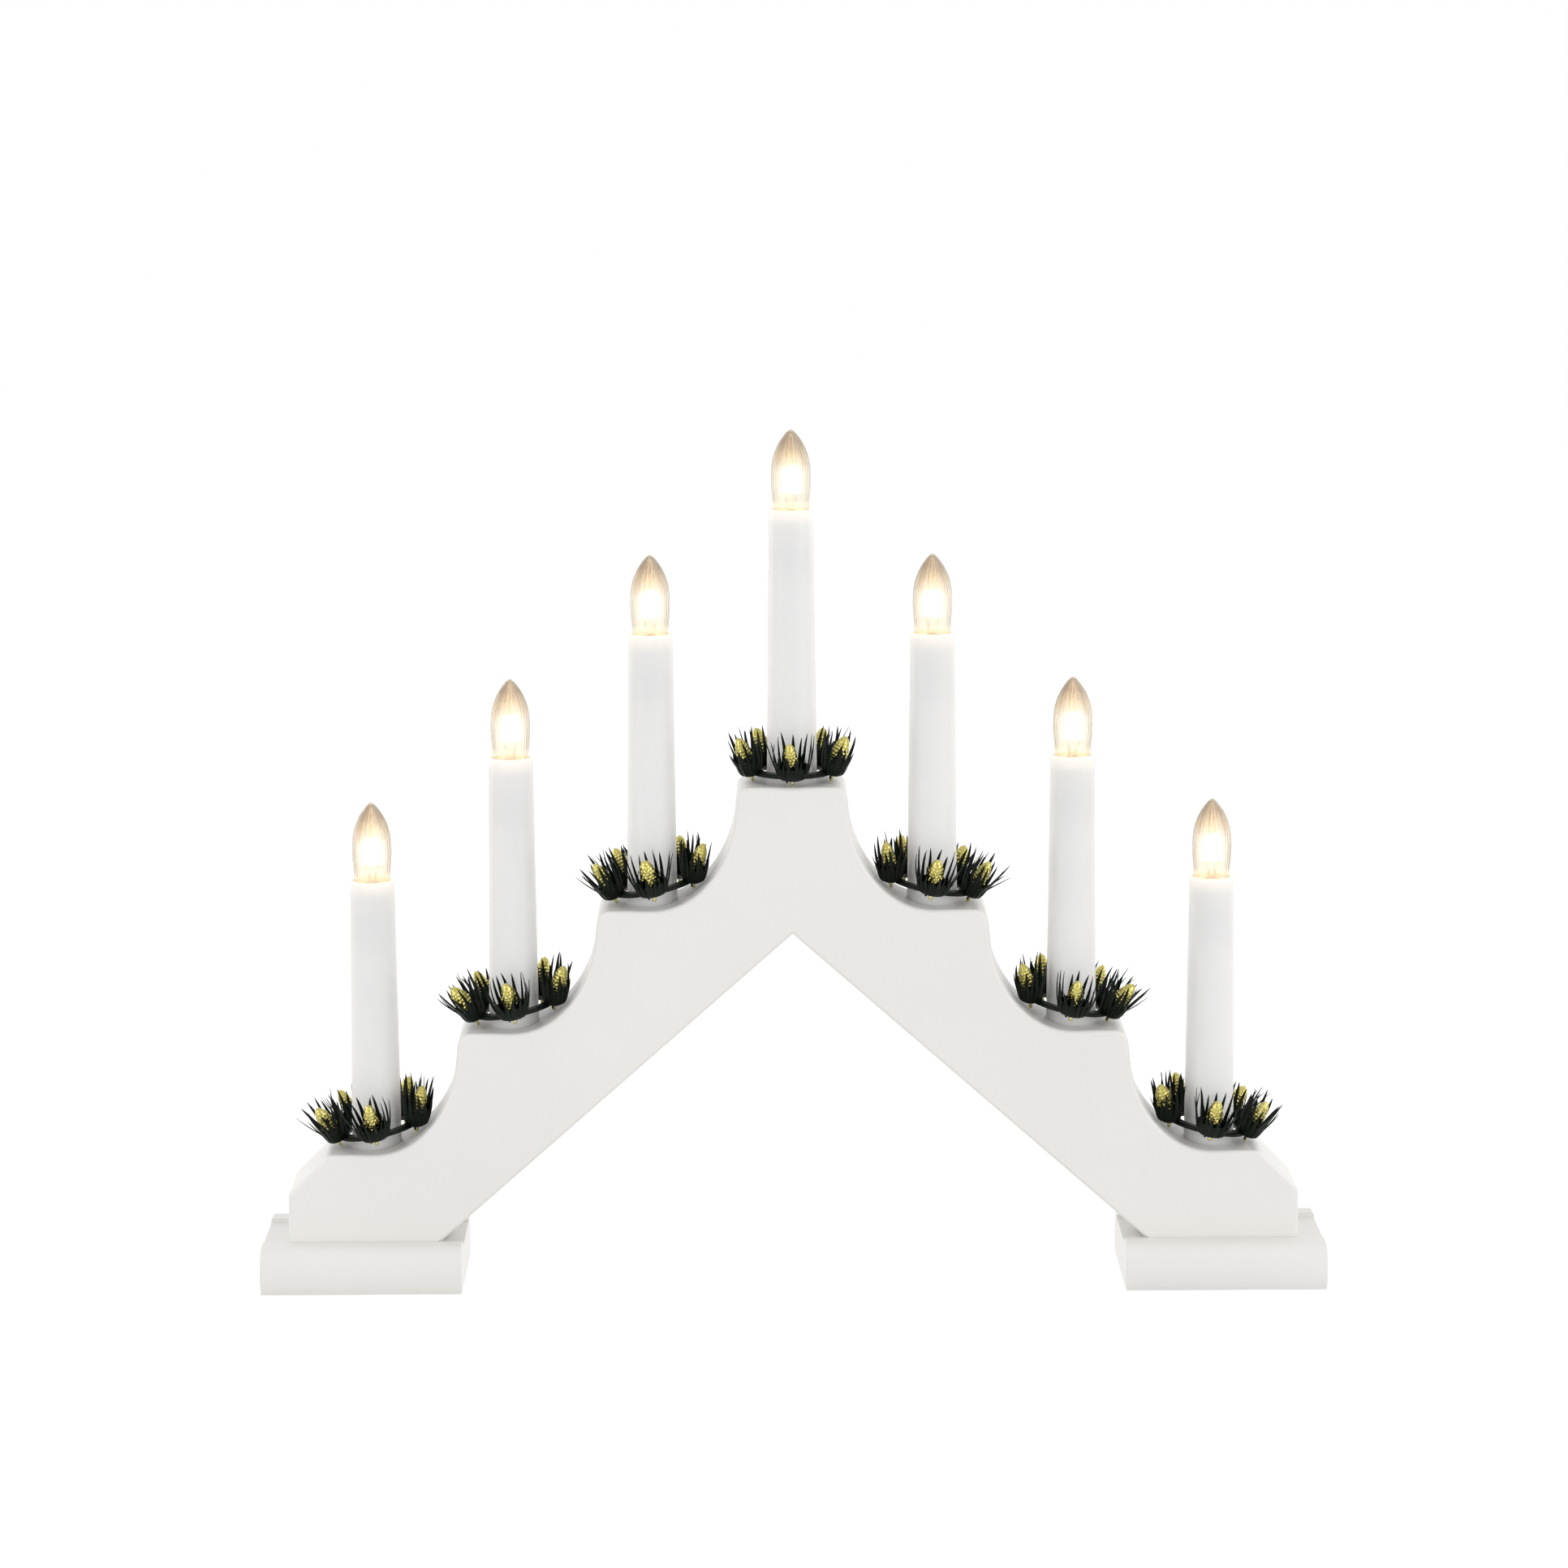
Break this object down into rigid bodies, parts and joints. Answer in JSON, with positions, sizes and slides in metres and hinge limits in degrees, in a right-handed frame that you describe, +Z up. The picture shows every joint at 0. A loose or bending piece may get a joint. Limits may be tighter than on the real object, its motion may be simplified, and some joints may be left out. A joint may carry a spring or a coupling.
{
  "type": "electric candle arch",
  "caption": "Stepped white wooden candle arch on two moulded feet, with electric candles, ribbed screw-in lamps and needle rings with golden cones.",
  "frame": {"origin": "on the table, below the middle of the arch", "axes": "+X along the arch to the viewer's right, +Y to the back, +Z up"},
  "size_m": [0.4, 0.062, 0.3212],
  "materials": {
    "white_paint": "satin white paint on wood",
    "candle_plastic": "smooth white moulded plastic",
    "lamp_glass": "clear ribbed glass",
    "brass": "bright drawn brass",
    "insulator": "black glassy insulator",
    "filament": "glowing warm white",
    "needle_plastic": "dark green moulded needles",
    "gold_lacquer": "gold lacquer",
    "holder_plastic": "white moulded insulation",
    "wire_insulation": "white wire insulation",
    "screw_steel": "zinc plated"
  },
  "bodies": {
    "arch": {"arch": "white_paint", "foot_left": "white_paint", "foot_right": "white_paint", "foot_screws": "screw_steel", "cover_strip_left": "white_paint", "cover_strip_right": "white_paint", "lamp_wires": "wire_insulation", "socket_bodies": "holder_plastic", "socket_shells": "brass", "socket_contacts": "brass", "candle_sleeve_1": "candle_plastic", "candle_sleeve_2": "candle_plastic", "candle_sleeve_3": "candle_plastic", "candle_sleeve_4": "candle_plastic", "candle_sleeve_5": "candle_plastic", "candle_sleeve_6": "candle_plastic", "candle_sleeve_7": "candle_plastic"},
    "ring_1": {"needle_ring_1": "needle_plastic", "pine_cones_1": "gold_lacquer"},
    "lamp_tip_1": {"lamp_contact_1": "insulator"},
    "lamp_1": {"lamp_glass_1": "lamp_glass", "lamp_cap_1": "brass", "lamp_filament_1": "filament"},
    "ring_2": {"needle_ring_2": "needle_plastic", "pine_cones_2": "gold_lacquer"},
    "lamp_tip_2": {"lamp_contact_2": "insulator"},
    "lamp_2": {"lamp_glass_2": "lamp_glass", "lamp_cap_2": "brass", "lamp_filament_2": "filament"},
    "ring_3": {"needle_ring_3": "needle_plastic", "pine_cones_3": "gold_lacquer"},
    "lamp_tip_3": {"lamp_contact_3": "insulator"},
    "lamp_3": {"lamp_glass_3": "lamp_glass", "lamp_cap_3": "brass", "lamp_filament_3": "filament"},
    "ring_4": {"needle_ring_4": "needle_plastic", "pine_cones_4": "gold_lacquer"},
    "lamp_tip_4": {"lamp_contact_4": "insulator"},
    "lamp_4": {"lamp_glass_4": "lamp_glass", "lamp_cap_4": "brass", "lamp_filament_4": "filament"},
    "ring_5": {"needle_ring_5": "needle_plastic", "pine_cones_5": "gold_lacquer"},
    "lamp_tip_5": {"lamp_contact_5": "insulator"},
    "lamp_5": {"lamp_glass_5": "lamp_glass", "lamp_cap_5": "brass", "lamp_filament_5": "filament"},
    "ring_6": {"needle_ring_6": "needle_plastic", "pine_cones_6": "gold_lacquer"},
    "lamp_tip_6": {"lamp_contact_6": "insulator"},
    "lamp_6": {"lamp_glass_6": "lamp_glass", "lamp_cap_6": "brass", "lamp_filament_6": "filament"},
    "ring_7": {"needle_ring_7": "needle_plastic", "pine_cones_7": "gold_lacquer"},
    "lamp_tip_7": {"lamp_contact_7": "insulator"},
    "lamp_7": {"lamp_glass_7": "lamp_glass", "lamp_cap_7": "brass", "lamp_filament_7": "filament"}
  },
  "joints": [
    {"name": "ring_lift_1", "type": "slide", "parent": "arch", "child": "ring_1", "axis": [0, 0, 1], "range_m": [0, 0.16]},
    {"name": "lamp_rise_1", "type": "slide", "parent": "arch", "child": "lamp_tip_1", "axis": [0, 0, 1], "range_m": [0, 0.0182]},
    {"name": "lamp_turn_1", "type": "hinge", "parent": "lamp_tip_1", "child": "lamp_1", "pos_m": [-0.1575, 0, 0.1526], "axis": [0, 0, 1], "range_deg": [0, 3600]},
    {"name": "ring_lift_2", "type": "slide", "parent": "arch", "child": "ring_2", "axis": [0, 0, 1], "range_m": [0, 0.16]},
    {"name": "lamp_rise_2", "type": "slide", "parent": "arch", "child": "lamp_tip_2", "axis": [0, 0, 1], "range_m": [0, 0.0182]},
    {"name": "lamp_turn_2", "type": "hinge", "parent": "lamp_tip_2", "child": "lamp_2", "pos_m": [-0.105, 0, 0.199], "axis": [0, 0, 1], "range_deg": [0, 3600]},
    {"name": "ring_lift_3", "type": "slide", "parent": "arch", "child": "ring_3", "axis": [0, 0, 1], "range_m": [0, 0.16]},
    {"name": "lamp_rise_3", "type": "slide", "parent": "arch", "child": "lamp_tip_3", "axis": [0, 0, 1], "range_m": [0, 0.0182]},
    {"name": "lamp_turn_3", "type": "hinge", "parent": "lamp_tip_3", "child": "lamp_3", "pos_m": [-0.0525, 0, 0.2454], "axis": [0, 0, 1], "range_deg": [0, 3600]},
    {"name": "ring_lift_4", "type": "slide", "parent": "arch", "child": "ring_4", "axis": [0, 0, 1], "range_m": [0, 0.16]},
    {"name": "lamp_rise_4", "type": "slide", "parent": "arch", "child": "lamp_tip_4", "axis": [0, 0, 1], "range_m": [0, 0.0182]},
    {"name": "lamp_turn_4", "type": "hinge", "parent": "lamp_tip_4", "child": "lamp_4", "pos_m": [0, 0, 0.2918], "axis": [0, 0, 1], "range_deg": [0, 3600]},
    {"name": "ring_lift_5", "type": "slide", "parent": "arch", "child": "ring_5", "axis": [0, 0, 1], "range_m": [0, 0.16]},
    {"name": "lamp_rise_5", "type": "slide", "parent": "arch", "child": "lamp_tip_5", "axis": [0, 0, 1], "range_m": [0, 0.0182]},
    {"name": "lamp_turn_5", "type": "hinge", "parent": "lamp_tip_5", "child": "lamp_5", "pos_m": [0.0525, 0, 0.2454], "axis": [0, 0, 1], "range_deg": [0, 3600]},
    {"name": "ring_lift_6", "type": "slide", "parent": "arch", "child": "ring_6", "axis": [0, 0, 1], "range_m": [0, 0.16]},
    {"name": "lamp_rise_6", "type": "slide", "parent": "arch", "child": "lamp_tip_6", "axis": [0, 0, 1], "range_m": [0, 0.0182]},
    {"name": "lamp_turn_6", "type": "hinge", "parent": "lamp_tip_6", "child": "lamp_6", "pos_m": [0.105, 0, 0.199], "axis": [0, 0, 1], "range_deg": [0, 3600]},
    {"name": "ring_lift_7", "type": "slide", "parent": "arch", "child": "ring_7", "axis": [0, 0, 1], "range_m": [0, 0.16]},
    {"name": "lamp_rise_7", "type": "slide", "parent": "arch", "child": "lamp_tip_7", "axis": [0, 0, 1], "range_m": [0, 0.0182]},
    {"name": "lamp_turn_7", "type": "hinge", "parent": "lamp_tip_7", "child": "lamp_7", "pos_m": [0.1575, 0, 0.1526], "axis": [0, 0, 1], "range_deg": [0, 3600]}
  ],
  "couplings": [
    {"joint": "lamp_rise_1", "follows": "lamp_turn_1", "m_per_rad": 0.00028871},
    {"joint": "lamp_rise_2", "follows": "lamp_turn_2", "m_per_rad": 0.00028871},
    {"joint": "lamp_rise_3", "follows": "lamp_turn_3", "m_per_rad": 0.00028871},
    {"joint": "lamp_rise_4", "follows": "lamp_turn_4", "m_per_rad": 0.00028871},
    {"joint": "lamp_rise_5", "follows": "lamp_turn_5", "m_per_rad": 0.00028871},
    {"joint": "lamp_rise_6", "follows": "lamp_turn_6", "m_per_rad": 0.00028871},
    {"joint": "lamp_rise_7", "follows": "lamp_turn_7", "m_per_rad": 0.00028871}
  ]
}
